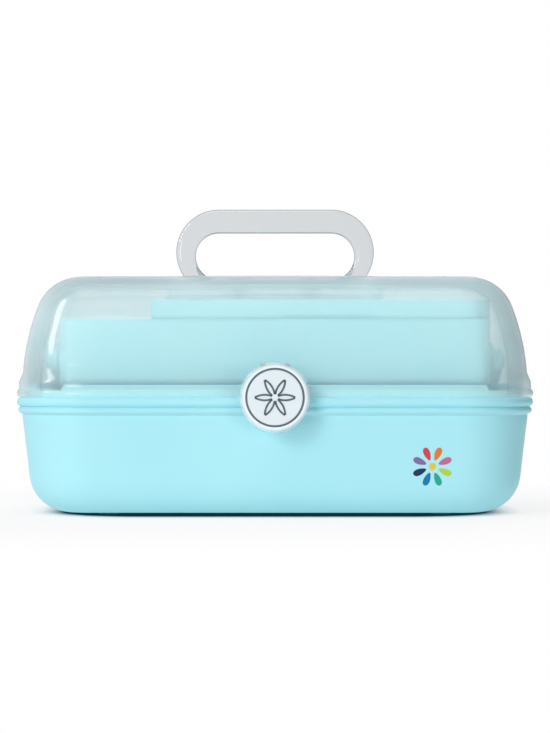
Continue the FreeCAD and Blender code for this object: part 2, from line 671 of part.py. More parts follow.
def latch_cap():
    """Clear cap with a recess for the badge, a lug for its pin and a nib at the bottom."""
    cap = disc(LATCH_R, LATCH_BACK_Y, LATCH_FRONT_Y)
    front = [e for e in cap.Edges if abs(e.CenterOfMass.y - LATCH_FRONT_Y) < TOLERANCE]
    cap = cap.makeFillet(LATCH_EDGE_R, front)
    cap = cap.cut(disc(BADGE_RING_R, LATCH_FRONT_Y + BADGE_DEPTH, LATCH_FRONT_Y - PAST))
    x = LATCH_LUG_HALF
    web = box(
        -x, x, LATCH_BACK_Y - ROOT, LATCH_PIN_Y, LATCH_PIN_Z - LATCH_LUG_R, LATCH_PIN_Z + LATCH_PIN_R
    )
    nib = box(-NIB_HALF_X, NIB_HALF_X, LATCH_BACK_Y - ROOT, NIB_TIP_Y, NIB_BOTTOM_Z, NIB_TOP_Z)
    cap = join([cap, web, nib, rod(LATCH_LUG_R, -x, x, LATCH_PIN_Y, LATCH_PIN_Z)])
    return cap.cut(rod(LATCH_PIN_R + RUNNING_PLAY, -x, x, LATCH_PIN_Y, LATCH_PIN_Z))


def badge_ring():
    """Dark ring round the badge."""
    back_y = LATCH_FRONT_Y + BADGE_DEPTH
    return disc(BADGE_RING_R, back_y, LATCH_FRONT_Y).cut(disc(BADGE_R, back_y, LATCH_FRONT_Y))


def badge_disc():
    """Plain round badge in the latch's cap."""
    return disc(BADGE_R, LATCH_FRONT_Y + BADGE_DEPTH, LATCH_FRONT_Y)


def latch_pin():
    """Pin across the lid's two lugs."""
    reach = LATCH_LUG_HALF + SIDE_PLAY + LID_LUG_WIDTH
    return rod(LATCH_PIN_R, -reach, reach, LATCH_PIN_Y, LATCH_PIN_Z)


def main():
    """Makes every sub-part and writes it to parts/."""
    tub = rim_form(tub_profile(0, WALL_TOP_Z) + double_bead())
    cavity = lid_cavity()
    lid = lid_outer()
    nodes = {
        "base_shell": base_shell(tub),
        "tub_hinge_left": tub_hinge(LEFT, tub),
        "tub_hinge_right": tub_hinge(RIGHT, tub),
        "hinge_pin_left": hinge_pin(LEFT),
        "hinge_pin_right": hinge_pin(RIGHT),
        "arm_base_pins": arm_base_pins(),
        "lid_shell": lid.cut(cavity).cut(well_block(WELL_WALL)),
        "handle_well": handle_well(lid),
        "lid_hinge_left": lid_hinge(LEFT, lid),
        "lid_hinge_right": lid_hinge(RIGHT, lid),
        "latch_lugs": latch_lugs(lid),
        "lid_bracket_left": lid_bracket(LEFT, cavity),
        "lid_bracket_right": lid_bracket(RIGHT, cavity),
        "latch_pin": latch_pin(),
        "handle_clip_left": handle_clip(LEFT),
        "handle_clip_right": handle_clip(RIGHT),
        "clip_screws": clip_screws(),
        "handle": handle(),
        "latch_cap": latch_cap(),
        "badge_ring": badge_ring(),
        "badge_disc": badge_disc(),
        "arm_left": arm(LEFT),
        "arm_right": arm(RIGHT),
        "upper_tray": upper_tray(),
        "tray_bosses": tray_bosses(),
        "tray_cross_wall": tray_cross_wall(),
        "tray_partition": tray_partition(),
        "tray_dividers": tray_dividers(),
        "tray_pivot_pins": pivot_pins(TRAY_PIVOT_Y, TRAY_PIVOT_Z),
        "arm_tip_pins": pivot_pins(ARM_TIP_Y, ARM_TIP_Z),
        "flip_lid_ears": flip_lid_ears(),
        "flip_hinge_pins": flip_hinge_pins(),
        "flip_lid": flip_lid(),
        "flip_lid_lugs": flip_lid_lugs(),
        "mirror_glass": mirror_glass(),
    }
    os.makedirs("parts", exist_ok=True)
    for name, shape in nodes.items():
        shape.exportStep(f"parts/{name}.step")
        bounds = shape.BoundBox
        print(f"{name}: {len(shape.Solids)} solids, valid {shape.isValid()}, {shape.Volume:.0f} mm3,"
              f" Y {bounds.YMin:.1f} to {bounds.YMax:.1f}, Z {bounds.ZMin:.1f} to {bounds.ZMax:.1f}")


main()
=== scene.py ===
"""Looks of the makeup storage case: aqua tub, see-through dome with the tray behind it, clear ring
handle and round latch. Sizes are in millimetres and become metres where a mesh is made."""

import json
import math

import bmesh
import bpy
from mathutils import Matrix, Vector


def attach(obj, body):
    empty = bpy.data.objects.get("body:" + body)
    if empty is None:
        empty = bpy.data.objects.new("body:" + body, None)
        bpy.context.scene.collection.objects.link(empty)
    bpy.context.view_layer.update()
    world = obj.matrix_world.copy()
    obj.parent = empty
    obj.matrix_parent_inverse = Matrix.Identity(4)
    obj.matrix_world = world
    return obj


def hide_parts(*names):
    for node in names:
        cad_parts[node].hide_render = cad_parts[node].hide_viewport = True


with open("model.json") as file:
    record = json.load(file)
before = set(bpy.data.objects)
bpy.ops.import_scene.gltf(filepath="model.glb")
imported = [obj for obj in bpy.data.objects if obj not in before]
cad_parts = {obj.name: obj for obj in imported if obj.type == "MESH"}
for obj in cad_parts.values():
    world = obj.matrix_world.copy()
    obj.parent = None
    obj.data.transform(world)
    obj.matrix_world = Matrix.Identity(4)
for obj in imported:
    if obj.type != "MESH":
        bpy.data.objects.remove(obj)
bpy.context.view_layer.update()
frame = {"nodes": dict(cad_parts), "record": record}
NODES = frame["nodes"]
MM = 0.001

# Rim of the case: walls are measured inwards from this outline
RIM_HALF_X, RIM_HALF_Y, RIM_CORNER_R = 167.5, 100.0, 50.0

# Tub: a flat underside, a round lower edge and a wall that leans outwards
UNDERSIDE_Z, UNDERSIDE_FLAT_INSET = 1.7, 48.0
TUB_WALL, TUB_DRAFT_DEG, TUB_BOTTOM_R = 3.0, 6.7, 26.0
WALL_TOP_Z, WALL_TOP_INSET, INSIDE_TOP_Z = 64.8, 3.5, 66.4
FOOT_R, FOOT_X, FOOT_Y, FOOT_ROOT, FOOT_EDGE_R = 7.0, 108.0, 48.0, 0.4, 0.5
BOSS_R, BOSS_Y, BOSS_Z, BOSS_EDGE_R = 7.0, 20.0, 68.0, 0.6
BOSS_INNER_X, BOSS_OUTER_X = 147.4, 163.0

# Double bead of the tub's rim: where it starts, its groove, its top, and how far out each bead swells
BEAD_FOOT_Z, GROOVE_Z, TUB_TOP_Z = 65.4, 70.0, 76.0
BEAD_FOOT_INSET, GROOVE_INSET, BEAD_TOP_INSET = 3.2, 2.4, 1.6
LOWER_BEAD_INSET, UPPER_BEAD_INSET = 0.8, 0.0

# Lip that stands up inside the rim: its edge is given as (inset, drop) points. Above one height it has
# its own plastic in painted shade, a darker copy of the tub's, and the painted shade deepens between two
# more
LIP_INSET, LIP_THICKNESS, LIP_TOP_Z, LIP_ROOT_Z = 7.1, 2.0, 84.2, 69.0
LIP_EDGE = ((0.0, 0.6), (0.2, 0.15), (0.6, 0.0))
LIP_NOTCH_X, LIP_NOTCH_Z = (134.0, 151.0), 80.4
LIP_PAINTED_SHADE_Z, LIP_SHADE_DEEPENS_Z = 76.3, (80.6, 81.4)

# Lid: the flange and the flare above it are (inset, z) points
LID_WALL, LID_BOTTOM_Z = 2.5, 76.3
FLANGE = ((2.4, LID_BOTTOM_Z), (0.9, LID_BOTTOM_Z), (0.2, 77.0), (0.0, 78.0), (0.0, 79.4), (0.3, 80.3),
          (1.0, 80.9), (1.3, 81.5), (1.3, 83.4), (1.3, 85.0), (1.5, 86.2), (2.0, 87.4), (2.9, 89.6))
LID_INSIDE_FOOT = ((6.4, LID_BOTTOM_Z), (6.4, 84.0))
LID_EDGE_TOP_Z, CROWN = 154.2, 2.0
SHOULDER_R, SHOULDER_INSET, SHOULDER_TURN_DEG = 30.0, 41.5, 21.0
SIDE_R, SIDE_LOW_DEG = 150.6, 4.2

# Well for the folded handle, in the top of the lid
WELL_HALF_X, WELL_FRONT_Y, WELL_REAR_Y = 70.5, -15.5, 55.5
WELL_FLOOR_Z, WELL_WALL, WELL_CORNER_R = 142.5, 2.2, 12.0
WELL_LIP_R, WELL_INSIDE_LIP_R, WELL_FOOT_R, WELL_FLOOR_MARGIN = 2.2, 1.5, 1.2, 4.0

# Round latch: milky out to one radius and clear from the next
LATCH_Z, LATCH_FRONT_Y = 76.4, -111.4
LATCH_MILKY_R, LATCH_CLEAR_R = 19.4, 21.6

# Badge on the latch: a dished disc; its front edge is given as (inset, depth) points
BADGE_R, BADGE_SINK, BADGE_DEPTH, BADGE_DISH = 17.4, 0.1, 1.6, 0.18
BADGE_BACK_EDGE, BADGE_FRONT_EDGE = 0.1, ((0.0, 0.35), (0.1, 0.12), (0.35, 0.0))

# Rosette on the badge: raised lines along parts of circles, from just behind the latch's front
ROSETTE_R, ROSETTE_LINE, ROSETTE_SINK, ROSETTE_ROOT = 12.8, 1.2, 0.02, 0.6
ROSETTE_PETALS, ROSETTE_ARCS_DEG = 6, ((120.9, 170.5), (189.5, 239.1))

# Handle: a ring between two stadiums, with a round lower bar
HANDLE_HALF_STRAIGHT, HANDLE_OUTER_R, HANDLE_OUTER_Z = 37.6, 28.6, 172.3
HANDLE_INNER_R, HANDLE_INNER_Z = 15.5, 169.5
HANDLE_THICKNESS, HANDLE_EDGE_R = 11.0, 3.6
HANDLE_BAR_R, HANDLE_BAR_END_X, HANDLE_BAR_FADE = 5.15, 41.0, 8.0
HANDLE_BAR_BELOW_Z = HANDLE_OUTER_Z - 0.9 * HANDLE_OUTER_R

# Flower printed on the front wall: its place, how far it stands out and reaches in, and its petals
PRINT_X, PRINT_Z, PRINT_PROUD, PRINT_ROOT = 99.5, 32.5, 0.08, 0.3
PETAL_START, PETAL_LENGTH, PETAL_WIDTH, PETAL_TAPER = 4.2, 8.8, 5.4, 0.25
PETALS = (("pink", "#C9709B"), ("orange", "#E8833F"), ("red", "#D8485A"), ("violet", "#8A6FA6"),
          ("navy", "#2C3A5E"), ("blue", "#1F7FB4"), ("teal", "#2FAE98"), ("lime", "#B9D84A"))
FLOWER_CENTRE_R, FLOWER_CENTRE = 2.3, "#F2C94C"

# Points round a plan's corner and along its long and short sides; edges past the angle stay sharp
CORNER_STEPS, LONG_STEPS, SHORT_STEPS = 36, 30, 14
SHARP_DEG = 35.0

# Camera: level and straight on, so its height shows at the middle of the picture
PICTURE_W = 550
CAMERA_Z, CAMERA_DISTANCE = 95.8, 1600.0
SCALE_PLANE_Y, MM_PER_PIXEL = -55.0, 0.648
SENSOR_MM = 36.0

# Floor and backdrop, in metres
STAGE_FRONT, STAGE_DEPTH, STAGE_RISE, STAGE_BEND_R, STAGE_HALF = -1.5, 4.0, 3.0, 1.0, 0.9

# The case's footprint on the floor, and the distances from it over which the painted shadow under the case
# ends and the floor turns white to the eye
FOOTPRINT_HALF_X, FOOTPRINT_HALF_Y, FOOTPRINT_CORNER_R = 136.0, 72.0, 50.0
PAINTED_SHADOW_FADE, NEAR_FADE, FAR_FADE = (3.0, 18.0), (4.0, 28.0), (28.0, 300.0)
NEAR_WHITE, FAR_WHITE = 0.8, 0.2

# Share of the floor's brightness that comes from below, as on a light table, where it lights the case
LIGHT_TABLE = 0.40

# Noise seldom leaves this range
NOISE_LOW, NOISE_HIGH = 0.3, 0.7


def add_camera():
    """The photograph's view: level and square to the front, at its scale in the plane of the front."""
    data = bpy.data.cameras.new("camera")
    data.sensor_fit = "HORIZONTAL"
    data.sensor_width = SENSOR_MM
    width = PICTURE_W * MM_PER_PIXEL
    data.lens = SENSOR_MM * (CAMERA_DISTANCE + SCALE_PLANE_Y) / width
    camera = bpy.data.objects.new("camera", data)
    camera.location = (0, -CAMERA_DISTANCE * MM, CAMERA_Z * MM)
    camera.rotation_euler = (math.radians(90), 0, 0)
    bpy.context.scene.collection.objects.link(camera)
    bpy.context.scene.camera = camera
    bpy.context.scene.view_settings.view_transform = "Standard"


# ---------------------------------------------------------------- node trees

def srgb(code):
    """Linear colour of an sRGB hex code."""
    values = [int(code[i:i + 2], 16) / 255 for i in (1, 3, 5)]
    linear = [v / 12.92 if v <= 0.04045 else ((v + 0.055) / 1.055) ** 2.4 for v in values]
    return (*linear, 1.0)


def darker(code, share=0.94):
    """A hex code made a little darker."""
    return "#" + "".join(f"{round(int(code[i:i + 2], 16) * share):02X}" for i in (1, 3, 5))


class Nodes:
    """A short way to build the node tree of a material or a world."""

    def __init__(self, owner, output):
        owner.use_nodes = True
        self.owner = owner
        self.tree = owner.node_tree
        self.tree.nodes.clear()
        self.output = self.add(output)

    def add(self, kind, links=None, **settings):
        """Adds ShaderNode<kind>; links feed sockets from nodes or set their values."""
        node = self.tree.nodes.new("ShaderNode" + kind)
        for key, value in settings.items():
            setattr(node, key, value)
        for key, value in (links or {}).items():
            socket = node.inputs[key]
            if isinstance(value, bpy.types.NodeSocket):
                self.tree.links.new(value, socket)
            else:
                socket.default_value = value
        return node

    def shade(self, shader):
        """Joins the final shader to the output and gives back the material or world."""
        self.tree.links.new(shader, self.output.inputs["Surface"])
        return self.owner

    def place(self):
        """Object coordinates."""
        return self.add("TexCoord").outputs["Object"]

    def facing(self):
        """0 where a surface is seen face on, rising to 1 where it is seen edge on."""
        return self.add("LayerWeight", {"Blend": 0.5}).outputs["Facing"]

    def noise(self, scale, detail=3.0, place=None):
        """Noise value at a scale in cells per metre."""
        links = {"Vector": place or self.place(), "Scale": scale, "Detail": detail, "Roughness": 0.5}
        return self.add("TexNoise", links).outputs["Fac"]

    def ramp(self, value, low, high, to_low, to_high):
        """A value mapped from one range to another."""
        links = {"Value": value, "From Min": low, "From Max": high, "To Min": to_low, "To Max": to_high}
        return self.add("MapRange", links).outputs["Result"]

    def spread(self, noise, low, high):
        """Noise mapped to a range of values."""
        return self.ramp(noise, NOISE_LOW, NOISE_HIGH, low, high)

    def fade(self, distance, reach, from_value, to_value):
        """A change from one value to another over a reach of distance in millimetres."""
        return self.ramp(distance, reach[0] * MM, reach[1] * MM, from_value, to_value)

    def math(self, operation, one, other=0.0):
        """A sum, product or other operation on two values."""
        return self.add("Math", {0: one, 1: other}, operation=operation).outputs[0]

    def blend(self, share, one, other):
        """A value between two, by a share from 0 to 1."""
        return self.add("Mix", {0: share, 2: one, 3: other}).outputs[0]

    def tint(self, share, one, other):
        """A colour between two, by a share from 0 to 1."""
        return self.add("Mix", {0: share, 6: one, 7: other}, data_type="RGBA").outputs[2]

    def mix(self, share, one, other):
        """A shader between two, by a share from 0 to 1."""
        return self.add("MixShader", {0: share, 1: one, 2: other}).outputs["Shader"]

    def bump(self, height, strength, distance):
        """A bump from a height value."""
        links = {"Height": height, "Strength": strength, "Distance": distance}
        return self.add("Bump", links).outputs["Normal"]

    def bsdf(self, kind, links):
        """A surface shader of one kind."""
        return self.add("Bsdf" + kind, links).outputs["BSDF"]

    def for_lamps(self, shader, tint):
        """The shader as it is seen, and a clear tinted pane for the light of the lamps."""
        pane = self.bsdf("Transparent", {"Color": srgb(tint)})
        return self.mix(self.add("LightPath").outputs["Is Shadow Ray"], shader, pane)

    def gloss_share(self, facing, face_on):
        """Share of light mirrored by a thin wall: from its value face on to all of it edge on, and only
        on the wall's outer side."""
        rise = self.ramp(self.math("POWER", facing, 5.0), 0.0, 1.0, face_on, 1.0)
        outer = self.math("SUBTRACT", 1.0, self.add("NewGeometry").outputs["Backfacing"])
        return self.math("MULTIPLY", rise, outer)


def surface(name):
    """Nodes of a new material."""
    return Nodes(bpy.data.materials.new(name), "OutputMaterial")


# ---------------------------------------------------------------- materials

def moulded(name, light, dark, rough=0.34, coat=0.04, shade_deepens_z=None):
    """Injection-moulded glossy plastic with a satin ripple and fine handling marks. Its darker colour
    comes in faint flow clouds, or upwards between two heights as painted shade."""
    n = surface(name)
    # Painted shade: when heights are given, the darker colour comes in upwards between them
    if shade_deepens_z:
        height = n.add("SeparateXYZ", {"Vector": n.place()}).outputs["Z"]
        share = n.fade(height, shade_deepens_z, 0.0, 1.0)
    else:
        share = n.spread(n.noise(9.0, detail=2.0), 0.0, 1.0)
    marks = n.noise(60.0, detail=4.0)
    shader = n.bsdf("Principled", {
        "Base Color": n.tint(share, srgb(light), srgb(dark)),
        "Roughness": n.ramp(marks, 0.25, 0.75, rough - 0.04, rough + 0.06),
        "Normal": n.bump(n.noise(26.0, detail=1.0), 0.12, 0.0006),
        "Specular IOR Level": 0.05, "Coat Weight": coat, "Coat Roughness": 0.12,
    })
    return n.shade(shader)


def dome_plastic():
    """Frosted see-through plastic: clearest seen face on, milkier edge on, with a plain gloss on top.
    Part of what shows through it is blurred."""
    n = surface("dome_plastic")
    facing = n.facing()
    ripple = n.bump(n.noise(30.0, detail=1.0), 0.1, 0.0005)

    plain = n.bsdf("Transparent", {"Color": srgb("#FBFDFD")})
    blurred = n.bsdf("Refraction", {"Color": srgb("#FBFDFD"), "Roughness": 0.26, "IOR": 1.3})
    clear = n.mix(n.ramp(facing, 0.08, 0.5, 0.42, 0.2), plain, blurred)

    milk = n.tint(facing, srgb("#EDF6F8"), srgb("#DDE9EB"))
    front = n.bsdf("Diffuse", {"Color": milk, "Normal": ripple})
    through = n.bsdf("Translucent", {"Color": milk, "Normal": ripple})
    body = n.mix(0.5, front, through)

    slope = n.ramp(n.math("POWER", facing, 1.1), 0.0, 1.0, 0.13, 0.5)
    patches = n.spread(n.noise(12.0, detail=2.0), -0.012, 0.012)
    rim = n.math("MULTIPLY", n.math("POWER", facing, 4.0), 0.35)
    density = n.math("ADD", n.math("ADD", slope, patches), rim)

    gloss = n.bsdf("Anisotropic", {"Roughness": 0.14, "Normal": ripple})
    seen = n.mix(n.gloss_share(facing, 0.035), n.mix(density, clear, body), gloss)
    return n.shade(n.for_lamps(seen, "#F7FAFA"))


def clear_plastic():
    """Clear polished acrylic, grey through its thickness, with a painted dark outline in place of the dark
    edges that refraction shows.
    """
    n = surface("clear_plastic")
    grey = n.tint(n.spread(n.noise(15.0, detail=1.0), 0.0, 1.0), srgb("#D9DCDE"), srgb("#D5D9DB"))
    # Painted shade: the colour turns dark towards the outline, for the dark edges seen in clear acrylic
    edge = n.ramp(n.facing(), 0.42, 0.75, 0.0, 1.0)
    glass = n.bsdf("Principled", {
        "Base Color": n.tint(edge, grey, srgb("#2F3E45")),
        "Roughness": n.spread(n.noise(70.0, detail=4.0), 0.01, 0.04),
        "IOR": 1.45, "Transmission Weight": 1.0,
    })
    return n.shade(n.for_lamps(glass, "#E4EBED"))


def latch_plastic():
    """The knob's collar: milky near the badge and clear at its edge, where the case shows through."""
    n = surface("latch_plastic")
    milk = n.tint(n.noise(40.0, detail=2.0), srgb("#F3F9FB"), srgb("#E9F4F7"))
    clear = n.bsdf("Transparent", {"Color": srgb("#FBFDFE")})
    body = n.bsdf("Principled", {"Base Color": milk, "Roughness": 0.3, "Specular IOR Level": 0.0})

    middle = n.add("VectorMath", {0: n.place(), 1: (0.0, 0.0, -LATCH_Z * MM)}, operation="ADD").outputs[0]
    flat = n.add("VectorMath", {0: middle, 1: (1.0, 0.0, 1.0)}, operation="MULTIPLY").outputs[0]
    radius = n.add("VectorMath", {0: flat}, operation="LENGTH").outputs["Value"]
    density = n.fade(radius, (LATCH_MILKY_R, LATCH_CLEAR_R), 0.92, 0.16)

    gloss = n.bsdf("Anisotropic", {"Roughness": 0.16})
    seen = n.mix(n.gloss_share(n.facing(), 0.03), n.mix(density, clear, body), gloss)
    return n.shade(n.for_lamps(seen, "#E6F4F7"))


def steel():
    """Bright drawn steel pins, with grain along X."""
    n = surface("pin_steel")
    stretched = n.add("Mapping", {"Vector": n.place(), "Scale": (1.0, 14.0, 14.0)}).outputs["Vector"]
    grain = n.noise(160.0, place=stretched)
    shader = n.bsdf("Principled", {
        "Base Color": n.tint(grain, srgb("#C6CACD"), srgb("#A9AEB2")),
        "Metallic": 1.0, "Roughness": n.spread(grain, 0.22, 0.38),
    })
    return n.shade(shader)


def mirror():
    """Silvered glass."""
    n = surface("mirror")
    shader = n.bsdf("Principled", {
        "Base Color": srgb("#DCE2E4"), "Metallic": 1.0, "Roughness": n.spread(n.noise(40.0), 0.01, 0.035),
    })
    return n.shade(shader)


def stage_paper():
    """White paper on a light table: it keeps the case's shadow close to it, is plain white to the eye
    further off, and has a dark painted shadow under the case, seen by the eye alone."""
    n = surface("stage_paper")
    place = n.add("SeparateXYZ", {"Vector": n.place()}).outputs

    def past_straight(axis, half):
        """Square of the distance past the straight part of the footprint's side."""
        straight = (half - FOOTPRINT_CORNER_R) * MM
        past = n.math("MAXIMUM", n.math("SUBTRACT", n.math("ABSOLUTE", place[axis]), straight))
        return n.math("POWER", past, 2.0)

    squares = n.math("ADD", past_straight("X", FOOTPRINT_HALF_X), past_straight("Y", FOOTPRINT_HALF_Y))
    away = n.math("SUBTRACT", n.math("SQRT", squares), FOOTPRINT_CORNER_R * MM)
    path = n.add("LightPath").outputs

    # Painted shadow: a dark teal under the case, seen by camera rays alone
    under = n.math("MULTIPLY", n.fade(away, PAINTED_SHADOW_FADE, 1.0, 0.0), path["Is Camera Ray"])
    colour = n.tint(n.noise(3.0, detail=2.0), (0.90, 0.90, 0.91, 1), (0.92, 0.92, 0.92, 1))
    paper = n.bsdf("Diffuse", {"Color": n.tint(under, colour, srgb("#20454A"))})
    white = n.add("Emission", {"Color": (1, 1, 1, 1), "Strength": 1.0}).outputs["Emission"]

    to_eye = n.math("MAXIMUM", path["Is Camera Ray"], path["Is Glossy Ray"])
    to_eye = n.math("MAXIMUM", to_eye, path["Is Transmission Ray"])
    direct = n.math("LESS_THAN", path["Diffuse Depth"], 0.5)
    seen = n.math("MULTIPLY", to_eye, direct)
    near = n.fade(away, NEAR_FADE, 0.0, NEAR_WHITE)
    far = n.fade(away, FAR_FADE, 0.0, FAR_WHITE)
    share = n.ramp(seen, 0.0, 1.0, LIGHT_TABLE, n.math("ADD", near, far))
    return n.shade(n.mix(share, paper, white))


# ---------------------------------------------------------------- mesh tools

def between(one, other, share):
    """The point a share of the way from one to the other."""
    return tuple(a + (b - a) * share for a, b in zip(one, other))


def on_circle(centre, radius, degrees):
    """The (inset, z) point of a circle; 0 degrees is outwards, 90 is up."""
    turn = math.radians(degrees)
    return (centre[0] - radius * math.cos(turn), centre[1] + radius * math.sin(turn))


def arc(centre, radius, start, end, steps):
    """Points along a circle between two angles, both ends included."""
    return [on_circle(centre, radius, start + (end - start) * i / steps) for i in range(steps + 1)]


def plan_ring(half_x, half_y, corner, middle_y=0.0):
    """A rounded rectangle as points, with the same number of them for every size."""

    def at(index, degrees):
        """A point on the arc of one corner."""
        side_x, side_y = ((1, 1), (-1, 1), (-1, -1), (1, -1))[index % 4]
        turn = math.radians(degrees)
        return (side_x * (half_x - corner) + corner * math.cos(turn),
                middle_y + side_y * (half_y - corner) + corner * math.sin(turn))

    points = []
    for index in range(4):
        points += [at(index, 90 * (index + i / CORNER_STEPS)) for i in range(CORNER_STEPS + 1)]
        end, following = points[-1], at(index + 1, 90 * (index + 1))
        steps = LONG_STEPS if index % 2 == 0 else SHORT_STEPS
        points += [between(end, following, i / steps) for i in range(1, steps)]
    return points


def rim_ring(inset, z):
    """The rim's plan moved in by inset, at a height."""
    ring = plan_ring(RIM_HALF_X - inset, RIM_HALF_Y - inset, RIM_CORNER_R - inset)
    return [(x, y, z) for x, y in ring]


def make_mesh(name, points, faces):
    """A smooth mesh object from points in millimetres, with its sharper edges kept."""
    mesh = bpy.data.meshes.new(name)
    mesh.from_pydata([tuple(c * MM for c in p) for p in points], [], faces)
    mesh.validate()
    shape = bmesh.new()
    shape.from_mesh(mesh)
    bmesh.ops.recalc_face_normals(shape, faces=shape.faces)
    shape.to_mesh(mesh)
    shape.free()
    mesh.polygons.foreach_set("use_smooth", [True] * len(mesh.polygons))
    mesh.set_sharp_from_angle(angle=math.radians(SHARP_DEG))
    thing = bpy.data.objects.new(name, mesh)
    bpy.context.scene.collection.objects.link(thing)
    return thing


def skin(name, rings, loop=False):
    """A mesh through rings of equal length: either a closed loop of them, or a row of them with a flat
    cap at each end."""
    count, total = len(rings[0]), len(rings)
    faces = []
    for k in range(total if loop else total - 1):
        this, following = k * count, (k + 1) % total * count
        for i in range(count):
            j = (i + 1) % count
            faces.append((this + i, this + j, following + j, following + i))
    if not loop:
        last = (total - 1) * count
        faces += [tuple(reversed(range(count))), tuple(range(last, last + count))]
    return make_mesh(name, [p for ring in rings for p in ring], faces)


def cylinder(name, radius, start, end, steps=40):
    """A round bar between two points, along X or upright."""
    side, up = ((0, 1, 0), (0, 0, 1)) if start[0] != end[0] else ((1, 0, 0), (0, 1, 0))
    rings = []
    for centre in (start, end):
        ring = []
        for i in range(steps):
            turn = 2 * math.pi * i / steps
            ring.append(tuple(c + radius * (math.cos(turn) * s + math.sin(turn) * u)
                              for c, s, u in zip(centre, side, up)))
        rings.append(ring)
    return skin(name, rings)


def bevel(thing, width, segments=2):
    """Rounded edges, in millimetres."""
    modifier = thing.modifiers.new("edges", "BEVEL")
    modifier.width = width * MM
    modifier.segments = segments
    modifier.limit_method = "ANGLE"
    modifier.angle_limit = math.radians(SHARP_DEG)
    modifier.harden_normals = False


def finish_piece(thing, body, material):
    """Gives a piece its material and its body."""
    thing.data.materials.clear()
    thing.data.materials.append(material)
    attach(thing, body)
    return thing


# ---------------------------------------------------------------- tub

def tub_curve(shrink, top_z, bottom_steps=14, wall_steps=6):
    """The tub's side profile, moved in by shrink, from the flat underside to a height."""
    draft = math.radians(TUB_DRAFT_DEG)
    centre_z = UNDERSIDE_Z + TUB_BOTTOM_R
    run = (WALL_TOP_Z - centre_z) * math.tan(draft)
    centre = (WALL_TOP_INSET + run + TUB_BOTTOM_R / math.cos(draft), centre_z)
    points = arc(centre, TUB_BOTTOM_R - shrink, -90, -TUB_DRAFT_DEG, bottom_steps)
    inset, z = points[-1]
    for i in range(1, wall_steps + 1):
        height = z + (top_z - z) * i / wall_steps
        points.append((inset - (height - z) * math.tan(draft), height))
    return points


def bead(low, high, reach, steps=8):
    """A rounded bead between two (inset, z) points that swells out to an inset of reach."""
    points = []
    for i in range(1, steps):
        base, z = between(low, high, i / steps)
        points.append((base - (base - reach) * math.sin(math.pi * i / steps) ** 0.7, z))
    return points


def rim_profile():
    """The rim's double bead and the ledge behind it, from the wall to the foot of the lip."""
    foot, groove = (BEAD_FOOT_INSET, BEAD_FOOT_Z), (GROOVE_INSET, GROOVE_Z)
    top = (BEAD_TOP_INSET, TUB_TOP_Z)
    points = [(WALL_TOP_INSET + 0.25, WALL_TOP_Z - 0.1), (BEAD_FOOT_INSET, BEAD_FOOT_Z - 0.1)]
    points += bead(foot, groove, LOWER_BEAD_INSET) + [groove]
    points += bead(groove, top, UPPER_BEAD_INSET)
    points += [(BEAD_TOP_INSET, TUB_TOP_Z - 0.2), (BEAD_TOP_INSET + 0.5, TUB_TOP_Z)]
    points += [(LIP_INSET - 0.5, TUB_TOP_Z), (LIP_INSET, TUB_TOP_Z + 0.4)]
    return points


def lip_ring(inset, z):
    """A ring of the lip, dropped to the notch's floor in the two front corners."""
    low, high = LIP_NOTCH_X
    ring = []
    for x, y, height in rim_ring(inset, z):
        notched = low < abs(x) < high and y < 0
        ring.append((x, y, min(height, LIP_NOTCH_Z) if notched else height))
    return ring


def tub():
    """The tub as one shell: underside, wall, double bead, rim, lip and inside."""
    outside = [(UNDERSIDE_FLAT_INSET, UNDERSIDE_Z)] + tub_curve(0, WALL_TOP_Z - 0.8) + rim_profile()
    lip_inner = LIP_INSET + LIP_THICKNESS
    lip = [(LIP_INSET + inset, LIP_TOP_Z - drop) for inset, drop in LIP_EDGE]
    lip += [(lip_inner - inset, LIP_TOP_Z - drop) for inset, drop in reversed(LIP_EDGE)]
    inside = [(lip_inner, LIP_ROOT_Z)] + tub_curve(TUB_WALL, INSIDE_TOP_Z)[::-1]
    inside.append((UNDERSIDE_FLAT_INSET, UNDERSIDE_Z + TUB_WALL))
    rings = [rim_ring(*p) for p in outside]
    rings += [lip_ring(*p) for p in lip]
    rings += [rim_ring(*p) for p in inside]
    return skin("tub", rings)


def add_tub(aqua):
    """The tub, with the lip above the rim in painted shade: a darker copy of the tub's plastic."""
    body = finish_piece(tub(), "base", aqua)
    # Painted shade: the lip takes a darker copy of the tub's plastic, darkest at its top
    lip = moulded("lip_painted_shade", "#B4E2E4", "#A3D1D8", coat=0.0, shade_deepens_z=LIP_SHADE_DEEPENS_Z)
    body.data.materials.append(lip)
    for face in body.data.polygons:
        lowest = min(body.data.vertices[i].co.z for i in face.vertices)
        face.material_index = int(lowest > LIP_PAINTED_SHADE_Z * MM)
    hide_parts("base_shell")


def add_bosses(aqua):
    """The bosses inside the tub's ends that the side arms turn on."""
    for side, label in ((-1, "left"), (1, "right")):
        ends = [(side * x, BOSS_Y, BOSS_Z) for x in (BOSS_INNER_X, BOSS_OUTER_X)]
        boss = cylinder(f"arm_boss_{label}", BOSS_R, *ends)
        bevel(boss, BOSS_EDGE_R)
        finish_piece(boss, "base", aqua)


def add_feet():
    """The four feet, in a dark painted shadow: a dark copy of the tub's plastic, for the case's shadow."""
    # Painted shadow: the feet take a dark teal instead of the tub's aqua
    foot_shadow_paint = moulded("foot_painted_shadow", "#35656C", "#2D5A61", rough=0.5, coat=0.0)
    for x, side in ((-FOOT_X, "left"), (FOOT_X, "right")):
        for y, end in ((-FOOT_Y, "front"), (FOOT_Y, "rear")):
            foot = cylinder(f"foot_{side}_{end}", FOOT_R, (x, y, 0.0), (x, y, UNDERSIDE_Z + FOOT_ROOT))
            bevel(foot, FOOT_EDGE_R)
            finish_piece(foot, "base", foot_shadow_paint)


